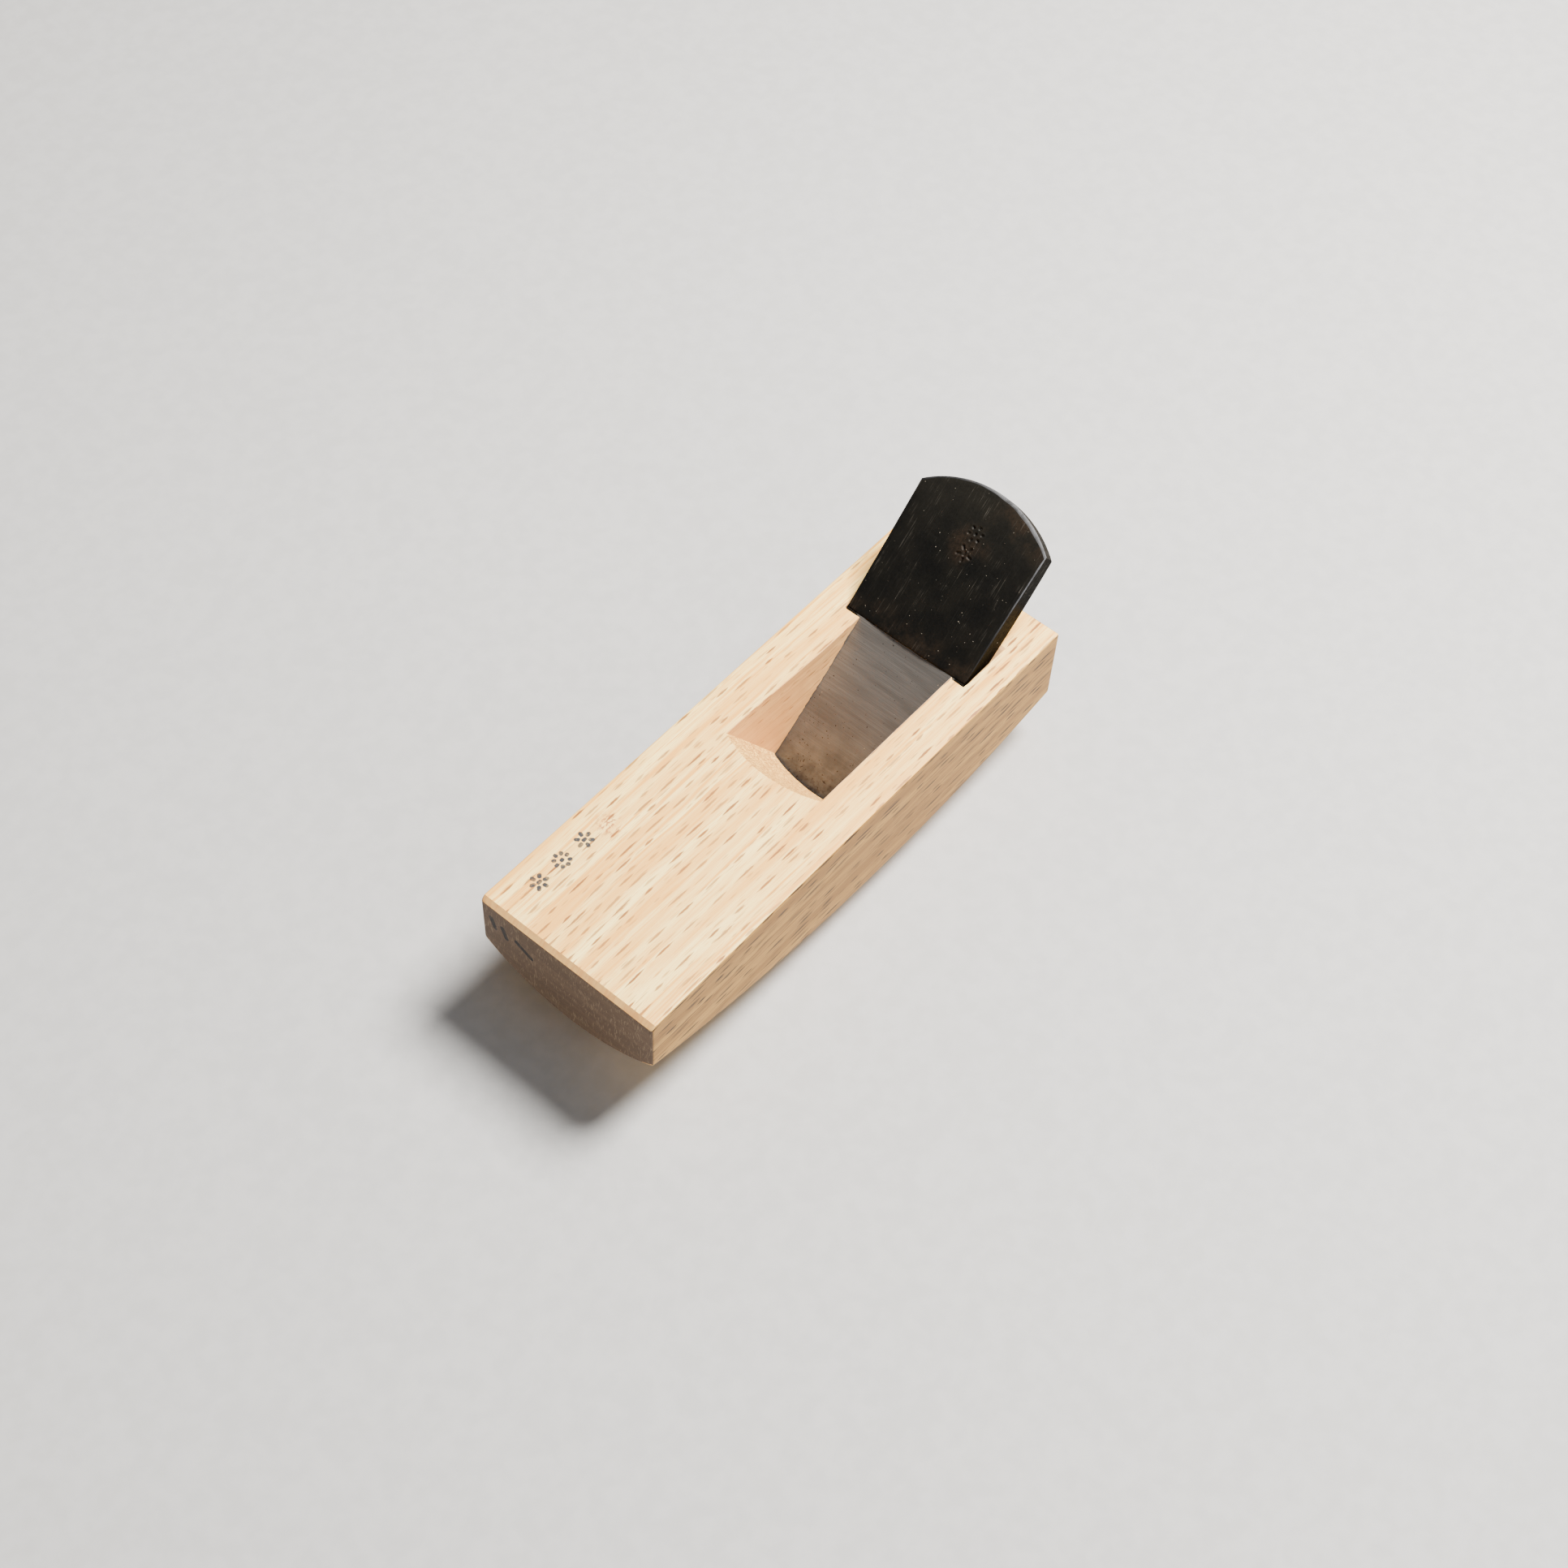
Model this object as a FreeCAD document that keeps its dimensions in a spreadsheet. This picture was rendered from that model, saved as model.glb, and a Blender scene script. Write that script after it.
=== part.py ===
"""Small wooden pull plane whose sole is curved along and across: an oak block and a laminated iron.

Frame, in millimetres: +X towards the toe (the way the plane is pulled), +Y to one side, +Z up. The
origin is the lowest point of the sole's double curve, the point that touches the wood.
"""
import FreeCAD, Part
import math
import os
import Sketcher

DIMENSIONS = {
    # oak block
    "block_length": 103.0,
    "block_width": 36.0,
    "block_height": 25.5,
    "toe_reach": 61.0,
    "sole_length_radius": 224.0,
    "sole_cross_radius": 32.0,
    "sole_flats": 9,
    "toe_chamfer": 0.8,
    "arris_radius": 0.4,
    # pitch of the bed that the iron lies on (8 up in 10 along) and of the iron's face
    "bed_angle": 38.66,
    "face_angle": 41.0,
    # cutting edge: where it is on the sole, and how far up inside the mouth it is set
    "edge_reach": 6.4,
    "edge_lift": 0.25,
    # throat, seen from the top: its width, its curved front, and the lean of its front wall
    "throat_width": 19.8,
    "throat_front": 13.6,
    "throat_front_radius": 25.0,
    "throat_lean": 35.0,
    # the chip return in front of the edge: its gap at the sole, and where it fades into the throat
    "mouth_gap": 0.7,
    "return_gap": 1.3,
    "return_height": 10.0,
    # play between iron and block
    "abutment_play": 0.12,
    "bed_play": 0.04,
    "side_play": 0.25,
    # iron, measured along its face from the cutting edge
    "iron_edge_width": 23.7,
    "iron_head_width": 26.3,
    "iron_shoulder": 63.5,
    "iron_head_radius": 20.3,
    "iron_edge_thickness": 4.9,
    "iron_side_draft": 4.8,
    "iron_crown_start": 40.0,
    "iron_crown_radius": 110.0,
    "iron_tail_thickness": 3.7,
    "iron_stock": 8.0,
    "head_chamfer": 0.7,
    "bevel_angle": 28.0,
    "edge_camber_radius": 22.0,
    # hard steel layer and the hollow ground in it
    "steel_thickness": 1.5,
    "steel_length": 38.4,
    "hollow_start": 3.0,
    "hollow_width": 20.6,
    "hollow_radius": 150.0,
    # how far cutting shapes run past what they cut
    "overrun": 2.0,
}

PINNED_AXES = (("x", "DistanceX"), ("y", "DistanceY"))

doc = FreeCAD.newDocument("pull_plane")
sheet = doc.addObject("Spreadsheet::Sheet", "dims")
for row, (alias, number) in enumerate(DIMENSIONS.items(), start=1):
    sheet.set(f"A{row}", alias)
    sheet.set(f"B{row}", str(number))
    sheet.setAlias(f"B{row}", alias)
doc.recompute()


def worth(expression):
    """The number that an expression on the sheet gives."""
    value = sheet.evalExpression(expression)
    return float(getattr(value, "Value", value))


def new_body(name):
    body = doc.addObject("PartDesign::Body", name)
    body.Label = name
    return body


def new_sketch(body, name, plane, height=None):
    """A sketch on one of the body's origin planes, lifted off it by an expression."""
    sketch = body.newObject("Sketcher::SketchObject", name)
    planes = {feature.Role: feature for feature in body.Origin.OriginFeatures}
    sketch.AttachmentSupport = (planes[plane], "")
    sketch.MapMode = "FlatFace"
    if height is not None:
        sketch.setExpression("AttachmentOffset.Base.z", height)
    return sketch


def bind(sketch, kind, elements, expression, name):
    """Add a dimension to a sketch and tie it to an expression on the sheet."""
    index = sketch.addConstraint(Sketcher.Constraint(kind, *elements, worth(expression)))
    sketch.renameConstraint(index, name)
    sketch.setExpression(f"Constraints.{name}", expression)


def pin(sketch, element, end, corner, name):
    """Tie a vertex to its two distances from the sketch's origin."""
    for (axis, kind), expression in zip(PINNED_AXES, corner):
        bind(sketch, kind, (-1, 1, element, end), expression, f"{name}_{axis}")


def arc_between(start, finish, radius, turn):
    """An anticlockwise arc over a chord; turn is 1 if the outline runs anticlockwise on it."""
    chord = finish - start
    side = FreeCAD.Vector(-chord.y, chord.x, 0).normalize() * turn
    centre = (start + finish) * 0.5 + side * math.sqrt(radius ** 2 - chord.Length ** 2 / 4)
    ends = (start, finish) if turn > 0 else (finish, start)
    angles = [math.atan2(end.y - centre.y, end.x - centre.x) for end in ends]
    return Part.ArcOfCircle(Part.Circle(centre, FreeCAD.Vector(0, 0, 1), radius), *angles)


def draw(sketch, corners, arcs=None):
    """Draw a closed outline through corners, given as pairs of expressions.

    arcs maps the number of a side to the expression of its radius and to its turn.
    """
    arcs = arcs or {}
    places = [FreeCAD.Vector(worth(x), worth(y), 0) for x, y in corners]
    ends = []
    for side, start in enumerate(places):
        finish = places[(side + 1) % len(places)]
        if side in arcs:
            radius, turn = arcs[side]
            element = sketch.addGeometry(arc_between(start, finish, worth(radius), turn))
            ends.append((element, (1, 2) if turn > 0 else (2, 1)))
        else:
            element = sketch.addGeometry(Part.LineSegment(start, finish))
            ends.append((element, (1, 2)))
    for side, (element, (_, last)) in enumerate(ends):
        following, (first, _) = ends[(side + 1) % len(ends)]
        sketch.addConstraint(Sketcher.Constraint("Coincident", element, last, following, first))
    for side, (element, (first, _)) in enumerate(ends):
        pin(sketch, element, first, corners[side], f"corner{side}")
        if side in arcs:
            bind(sketch, "Radius", (element,), arcs[side][0], f"radius{side}")


def at_height(expression, height):
    """An expression written for any height, with the height filled in."""
    return expression.replace("HEIGHT", f"({height})")


def subtract_loft(body, name, sections):
    """Cut a straight-sided tapering hole between two horizontal outlines.

    sections holds (height, corners, arcs) for each of them.
    """
    sketches = []
    for number, (height, corners, arcs) in enumerate(sections):
        sketch = new_sketch(body, f"{name}_section{number}", "XY_Plane", height)
        draw(sketch, corners, arcs)
        sketches.append(sketch)
    loft = body.newObject("PartDesign::SubtractiveLoft", name)
    loft.Profile = sketches[0]
    loft.Sections = sketches[1:]
    loft.Ruled = True
    doc.recompute()
    return loft


def edges_where(feature, test):
    """Names of the edges of a feature that pass a test."""
    names = []
    for number, edge in enumerate(feature.Shape.Edges, start=1):
        if test(edge):
            names.append(f"Edge{number}")
    return names


def dress(body, kind, name, size_property, size, test):
    """Chamfer or fillet the edges of the body's tip that pass a test."""
    base = body.Tip
    feature = body.newObject(f"PartDesign::{kind}", name)
    feature.Base = (base, edges_where(base, test))
    feature.setExpression(size_property, size)
    doc.recompute()
    return feature


# Lines of the side view, as X at a given height: the iron's face and the bed under its back.
FACE_LINE = "dims.edge_reach - (HEIGHT - dims.edge_lift) / tan(dims.face_angle)"
BED_LINE = (
    "dims.edge_reach - dims.iron_edge_thickness * sin(dims.face_angle)"
    " - (HEIGHT - dims.edge_lift + dims.iron_edge_thickness * cos(dims.face_angle))"
    " / tan(dims.bed_angle)"
)
# A line inside the iron's slot, where the cuts for throat and mouth stop.
MIDDLE_LINE = f"(({FACE_LINE}) + ({BED_LINE})) / 2"
TOP_CUT = "dims.block_height + dims.overrun"
SOLE_CUT = "-dims.overrun"


def rectangle(back, front, half_width):
    return [
        (back, f"-({half_width})"),
        (front, f"-({half_width})"),
        (front, half_width),
        (back, half_width),
    ]


def make_block():
    """The oak block: sawn blank, double-curved sole planed in flats, eased arrises, slot, throat and mouth."""
    body = new_body("block")
    blank_outline = new_sketch(body, "blank_outline", "XY_Plane")
    heel = "dims.toe_reach - dims.block_length"
    draw(blank_outline, rectangle(heel, "dims.toe_reach", "dims.block_width / 2"))
    blank = body.newObject("PartDesign::Pad", "blank")
    blank.Profile = blank_outline
    blank.setExpression("Length", "dims.block_height")
    doc.recompute()

    # The sole is planed in narrow flats, each touching a barrel: a cross arc turned about a far
    # line above the block. The outermost flat starts at the block's side and runs past it.
    flat = "dims.block_width / dims.sole_flats"
    under = "-dims.block_height / 2"
    touch = f"sqrt(dims.sole_cross_radius ^ 2 - ({flat} / 2) ^ 2)"
    ridges = []
    for number in range(int(worth("dims.sole_flats")) // 2 + 2):
        along = f"({flat}) * {number + 0.5}"
        ridges.append((along, f"{touch} - sqrt(dims.sole_cross_radius ^ 2 - ({along}) ^ 2)"))
    half_cut = ridges[-1][0]
    outline = [(f"-({half_cut})", under), (half_cut, under)]
    outline += reversed(ridges)
    outline += [(f"-({y})", z) for y, z in ridges]
    sole_outline = new_sketch(body, "sole_outline", "YZ_Plane")
    draw(sole_outline, outline)
    reach = FreeCAD.Vector(worth(half_cut), 0, 0)
    far = FreeCAD.Vector(0, worth("dims.sole_length_radius"), 0)
    far_line = sole_outline.addGeometry(Part.LineSegment(far - reach, far + reach), True)
    pin(sole_outline, far_line, 1, (f"-({half_cut})", "dims.sole_length_radius"), "axis_start")
    pin(sole_outline, far_line, 2, (half_cut, "dims.sole_length_radius"), "axis_finish")
    sole = body.newObject("PartDesign::Groove", "sole")
    sole.Profile = sole_outline
    sole.ReferenceAxis = (sole_outline, ["Axis0"])
    sole.Midplane = True
    sole.setExpression("Angle", "3 * asin(dims.toe_reach / dims.sole_length_radius)")
    doc.recompute()

    toe = worth("dims.toe_reach")
    top = worth("dims.block_height")
    toe_edge = FreeCAD.Vector(toe, 0, top)
    near = 0.01

    def is_toe_edge(edge):
        return (edge.CenterOfMass - toe_edge).Length < near

    def is_arris(edge):
        along = abs(edge.CenterOfMass.y) > worth("dims.block_width") / 2 - near
        return along and all(vertex.Z > top - 1 for vertex in edge.Vertexes)

    dress(body, "Chamfer", "toe_bevel", "Size", "dims.toe_chamfer", is_toe_edge)
    dress(body, "Fillet", "arrises", "Radius", "dims.arris_radius", is_arris)

    # Slot for the iron: wedge-shaped between the abutments and the bed, narrowing to the mouth.
    widening = (
        "(dims.iron_head_width - dims.iron_edge_width) / 2 / dims.iron_shoulder"
        " * (HEIGHT - dims.edge_lift) / sin(dims.face_angle)"
    )
    slot_half = f"dims.iron_edge_width / 2 + dims.side_play + {widening}"
    slot_front = f"{FACE_LINE} + dims.abutment_play / sin(dims.face_angle)"
    slot_back = f"{BED_LINE} - dims.bed_play / sin(dims.bed_angle)"
    slot_sections = []
    for height in (TOP_CUT, SOLE_CUT):
        lines = [at_height(line, height) for line in (slot_back, slot_front, slot_half)]
        slot_sections.append((height, rectangle(*lines), None))
    subtract_loft(body, "iron_slot", slot_sections)

    # Throat: its concave front wall leans back until it meets the iron's face.
    throat_half = "dims.throat_width / 2"
    sagitta = f"(dims.throat_front_radius - sqrt(dims.throat_front_radius ^ 2 - ({throat_half}) ^ 2))"
    front_line = (
        f"dims.throat_front - {sagitta}"
        " - (dims.block_height - HEIGHT) * tan(dims.throat_lean)"
    )
    throat_sections = []
    for height in (TOP_CUT, "dims.return_height / 2"):
        lines = [at_height(line, height) for line in (MIDDLE_LINE, front_line, throat_half)]
        arcs = {1: ("dims.throat_front_radius", 1)}
        throat_sections.append((height, rectangle(*lines), arcs))
    subtract_loft(body, "throat", throat_sections)

    # Mouth: the chip return runs down ahead of the iron's face to a narrow gap at the sole.
    mouth_sections = []
    for height, gap in (("dims.return_height", "dims.return_gap"), (SOLE_CUT, "dims.mouth_gap")):
        lines = [at_height(MIDDLE_LINE, height), at_height(f"{FACE_LINE} + {gap}", height)]
        mouth_sections.append((height, rectangle(*lines, throat_half), None))
    subtract_loft(body, "mouth", mouth_sections)
    return body


def make_whole_iron():
    """The iron as one piece, in its own frame: X up the face from the edge, Z into the metal."""
    body = new_body("whole_iron")
    outline = new_sketch(body, "iron_outline", "XY_Plane")
    edge_half = "dims.iron_edge_width / 2"
    head_half = "dims.iron_head_width / 2"
    draw(
        outline,
        [
            ("0", f"-{edge_half}"),
            ("dims.iron_shoulder", f"-{head_half}"),
            ("dims.iron_shoulder", head_half),
            ("0", edge_half),
        ],
        {1: ("dims.iron_head_radius", 1)},
    )
    forging = body.newObject("PartDesign::Pad", "forging")
    forging.Profile = outline
    forging.setExpression("Length", "dims.iron_stock")
    forging.setExpression("TaperAngle", "-dims.iron_side_draft")
    doc.recompute()

    # Back: a straight wedge that beds on the oak, then a crown that thins towards the head.
    wedge = "tan(dims.face_angle - dims.bed_angle)"
    low = "-dims.overrun"
    far_end = "dims.iron_shoulder + dims.iron_head_radius / 2"
    deep = "dims.iron_stock + dims.overrun"
    back_outline = new_sketch(body, "back_outline", "XZ_Plane")
    draw(
        back_outline,
        [
            (low, f"dims.iron_edge_thickness - dims.overrun * {wedge}"),
            ("dims.iron_crown_start", f"dims.iron_edge_thickness + dims.iron_crown_start * {wedge}"),
            ("dims.iron_shoulder + dims.head_chamfer * 10", "dims.iron_tail_thickness"),
            (far_end, "dims.iron_tail_thickness"),
            (far_end, deep),
            (low, deep),
        ],
        {1: ("dims.iron_crown_radius", -1)},
    )
    back = body.newObject("PartDesign::Pocket", "back")
    back.Profile = back_outline
    back.Type = "ThroughAll"
    back.Midplane = True
    doc.recompute()

    # Cutting bevel: ground through the cambered edge, at the bevel angle to the face.
    edge_outline = new_sketch(body, "edge_outline", "XY_Plane")
    wide = f"({edge_half} + dims.overrun)"
    camber = f"dims.edge_camber_radius - sqrt(dims.edge_camber_radius ^ 2 - {wide} ^ 2)"
    ahead = "-dims.iron_shoulder / 3"
    draw(
        edge_outline,
        [(ahead, f"-{wide}"), (camber, f"-{wide}"), (camber, wide), (ahead, wide)],
        {1: ("dims.edge_camber_radius", -1)},
    )
    bevel = body.newObject("PartDesign::Pocket", "bevel")
    bevel.Profile = edge_outline
    bevel.Type = "Length"
    bevel.UseCustomVector = True
    bevel.AlongSketchNormal = False
    bevel.Direction = FreeCAD.Vector(1, 0, 1)
    bevel.setExpression("Direction.x", "cos(dims.bevel_angle)")
    bevel.setExpression("Direction.z", "sin(dims.bevel_angle)")
    bevel.setExpression("Length", "dims.iron_stock / sin(dims.bevel_angle)")
    doc.recompute()

    # Hollow ground in the face, leaving a rim round it for the abutments and the edge.
    hollow_outline = new_sketch(body, "hollow_outline", "YZ_Plane", "dims.hollow_start")
    hollow_half = "dims.hollow_width / 2"
    draw(
        hollow_outline,
        [
            (f"-{hollow_half}", "-dims.overrun"),
            (hollow_half, "-dims.overrun"),
            (hollow_half, "0"),
            (f"-{hollow_half}", "0"),
        ],
        {2: ("dims.hollow_radius", 1)},
    )
    hollow = body.newObject("PartDesign::Pocket", "hollow")
    hollow.Profile = hollow_outline
    hollow.Type = "Length"
    hollow.Reversed = True
    hollow.setExpression("Length", "dims.steel_length - dims.hollow_start")
    doc.recompute()

    shoulder = worth("dims.iron_shoulder")

    def is_head_arc(edge):
        on_face = all(abs(vertex.Z) < 0.01 for vertex in edge.Vertexes)
        return on_face and all(vertex.X > shoulder - 1 for vertex in edge.Vertexes)

    dress(body, "Chamfer", "head_bevel", "Size", "dims.head_chamfer", is_head_arc)
    return body


def seat(piece):
    """Lay a piece that is drawn in the iron's frame on the bed."""
    piece.setExpression("Placement.Base.x", "dims.edge_reach")
    piece.setExpression("Placement.Base.z", "dims.edge_lift")
    piece.Placement.Rotation = FreeCAD.Rotation(FreeCAD.Vector(0, 1, 0), 180)
    piece.setExpression("Placement.Rotation.Angle", "180 + dims.face_angle")


def make_iron_layers():
    """Split the iron into its two forge-welded metals."""
    whole = make_whole_iron()
    zones = []
    for name in ("zone_for_iron", "zone_for_steel"):
        zone = doc.addObject("Part::Box", name)
        zone.setExpression("Length", "dims.steel_length + 2 * dims.overrun")
        zone.setExpression("Width", "dims.iron_head_width + 2 * dims.overrun")
        zone.setExpression("Height", "dims.steel_thickness + dims.overrun")
        zone.setExpression("Placement.Base.x", "-2 * dims.overrun")
        zone.setExpression("Placement.Base.y", "-dims.iron_head_width / 2 - dims.overrun")
        zone.setExpression("Placement.Base.z", "-dims.overrun")
        zones.append(zone)
    iron = doc.addObject("Part::Cut", "blade_iron")
    iron.Base = whole
    iron.Tool = zones[0]
    steel = doc.addObject("Part::Common", "blade_steel")
    steel.Base = whole
    steel.Tool = zones[1]
    for piece in (iron, steel):
        piece.Label = piece.Name
        seat(piece)
    doc.recompute()
    return [iron, steel]


def check_document(pieces):
    """Stop if any object failed, or if a piece isn't one sound solid."""
    for thing in doc.Objects:
        if {"Invalid", "Error"} & set(thing.State):
            raise RuntimeError(f"{thing.Label} failed: {thing.State}")
    for piece in pieces:
        shape = piece.Shape
        if shape.isNull() or not shape.isValid() or len(shape.Solids) != 1:
            raise RuntimeError(f"{piece.Label} is not one valid solid")


pieces = [make_block()] + make_iron_layers()
doc.recompute()
check_document(pieces)
os.makedirs("parts", exist_ok=True)
for piece in pieces:
    piece.Shape.exportStep(f"parts/{piece.Label}.step")
    print(piece.Label, round(piece.Shape.Volume), "mm3", piece.Shape.optimalBoundingBox())
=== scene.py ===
import math

import bmesh
import bpy
from mathutils import Matrix, Vector, noise


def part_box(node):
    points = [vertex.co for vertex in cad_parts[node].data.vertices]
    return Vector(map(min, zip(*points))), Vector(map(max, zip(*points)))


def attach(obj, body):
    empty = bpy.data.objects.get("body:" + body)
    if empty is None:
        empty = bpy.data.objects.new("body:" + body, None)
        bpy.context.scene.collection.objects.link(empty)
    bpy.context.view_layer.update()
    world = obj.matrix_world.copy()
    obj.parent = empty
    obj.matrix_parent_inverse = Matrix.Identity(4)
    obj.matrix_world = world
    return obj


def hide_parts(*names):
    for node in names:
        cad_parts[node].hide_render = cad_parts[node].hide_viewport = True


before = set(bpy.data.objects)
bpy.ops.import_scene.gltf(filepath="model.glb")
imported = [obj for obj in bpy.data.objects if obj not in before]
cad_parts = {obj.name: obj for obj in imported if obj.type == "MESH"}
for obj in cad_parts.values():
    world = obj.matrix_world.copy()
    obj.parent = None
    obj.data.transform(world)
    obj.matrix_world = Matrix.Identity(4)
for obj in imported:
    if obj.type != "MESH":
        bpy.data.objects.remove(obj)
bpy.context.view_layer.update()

MM = 0.001

# ---------------------------------------------------------------- sizes that the CAD part has too
low, high = (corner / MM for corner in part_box("block"))
HEEL, TOE, HALF_WIDTH, TOP = low.x, high.x, high.y, high.z
SOLE_LENGTH_RADIUS = 224.0
SOLE_CROSS_RADIUS = 32.0
FACE_ANGLE = math.radians(41.0)
BED_ANGLE = math.radians(38.66)
BEVEL_ANGLE = math.radians(28.0)
EDGE_REACH = 6.4
EDGE_LIFT = 0.25
EDGE_CAMBER_RADIUS = 22.0
EDGE_HALF = 11.85
HEAD_HALF = 13.15
SHOULDER = 63.5
HEAD_RADIUS = 20.3
EDGE_THICKNESS = 4.9
SIDE_DRAFT = math.tan(math.radians(4.8))
BACK_EASED = 0.25
CROWN_START = 40.0
CROWN_RADIUS = 110.0
STEEL_THICKNESS = 1.5
STEEL_LENGTH = 38.4
HOLLOW_START = 3.0
HOLLOW_HALF = 10.3

# the iron's own directions: up the face from the edge, across, and into the metal
UP_FACE = Vector((-math.cos(FACE_ANGLE), 0, math.sin(FACE_ANGLE)))
ACROSS = Vector((0, 1, 0))
INWARD = Vector((-math.sin(FACE_ANGLE), 0, -math.cos(FACE_ANGLE)))
EDGE_POINT = Vector((EDGE_REACH, 0, EDGE_LIFT))


# ---------------------------------------------------------------- small helpers
def smooth(value, start, finish):
    """0 at start, 1 at finish, eased between them."""
    t = min(max((value - start) / (finish - start), 0.0), 1.0)
    return t * t * (3 - 2 * t)


def blend(a, b, t):
    """a where t is 0, b where it is 1."""
    return a + (b - a) * t


def spread(start, finish, count):
    """count steps from start to finish, finish left out."""
    return [blend(start, finish, i / count) for i in range(count)]


def wander(x, y, z, size, seed):
    """Smooth noise from -1 to 1 whose bumps are about size across."""
    return noise.noise(Vector((x / size + seed, y / size, z / size)))


def new_object(name, mesh):
    """An object with the given data, in the scene."""
    made = bpy.data.objects.new(name, mesh)
    bpy.context.collection.objects.link(made)
    return made


def mesh_from(name, points, faces):
    """A mesh in metres from points in millimetres."""
    mesh = bpy.data.meshes.new(name)
    mesh.from_pydata([Vector(point) * MM for point in points], [], faces)
    mesh.validate()
    return mesh


def clean(mesh, reach=0.0004):
    """Join points that coincide and turn every face outwards."""
    work = bmesh.new()
    work.from_mesh(mesh)
    bmesh.ops.remove_doubles(work, verts=work.verts, dist=reach * MM)
    bmesh.ops.dissolve_degenerate(work, edges=work.edges, dist=reach * MM)
    bmesh.ops.recalc_face_normals(work, faces=work.faces)
    work.to_mesh(mesh)
    work.free()


def shade(mesh, angle):
    """Smooth shading with crisp edges where faces meet at more than the angle, in degrees."""
    mesh.shade_smooth()
    mesh.set_sharp_from_angle(angle=math.radians(angle))


def settled(piece):
    """Give a piece the mesh that its modifiers make, and take them off."""
    graph = bpy.context.evaluated_depsgraph_get()
    mesh = bpy.data.meshes.new_from_object(piece.evaluated_get(graph))
    piece.modifiers.clear()
    piece.data = mesh
    return piece


def rosette(x, y, radius, count, turned, long):
    """A dot with a ring of dots round it, each a very short stroke."""
    strokes = [((x - long / 2, y), (x + long / 2, y))]
    for number in range(count):
        turn = math.radians(360 * number / count + turned)
        at_x, at_y = x + radius * math.cos(turn), y + radius * math.sin(turn)
        reach_x, reach_y = long * math.cos(turn), long * math.sin(turn)
        strokes.append(((at_x, at_y), (at_x + reach_x, at_y + reach_y)))
    return strokes


# ---------------------------------------------------------------- shader helpers
def linear(red, green, blue):
    """A scene colour from a display colour in 0 to 255."""
    parts = [channel / 255 for channel in (red, green, blue)]
    return tuple(c / 12.92 if c < 0.04045 else ((c + 0.055) / 1.055) ** 2.4 for c in parts) + (1,)


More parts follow.
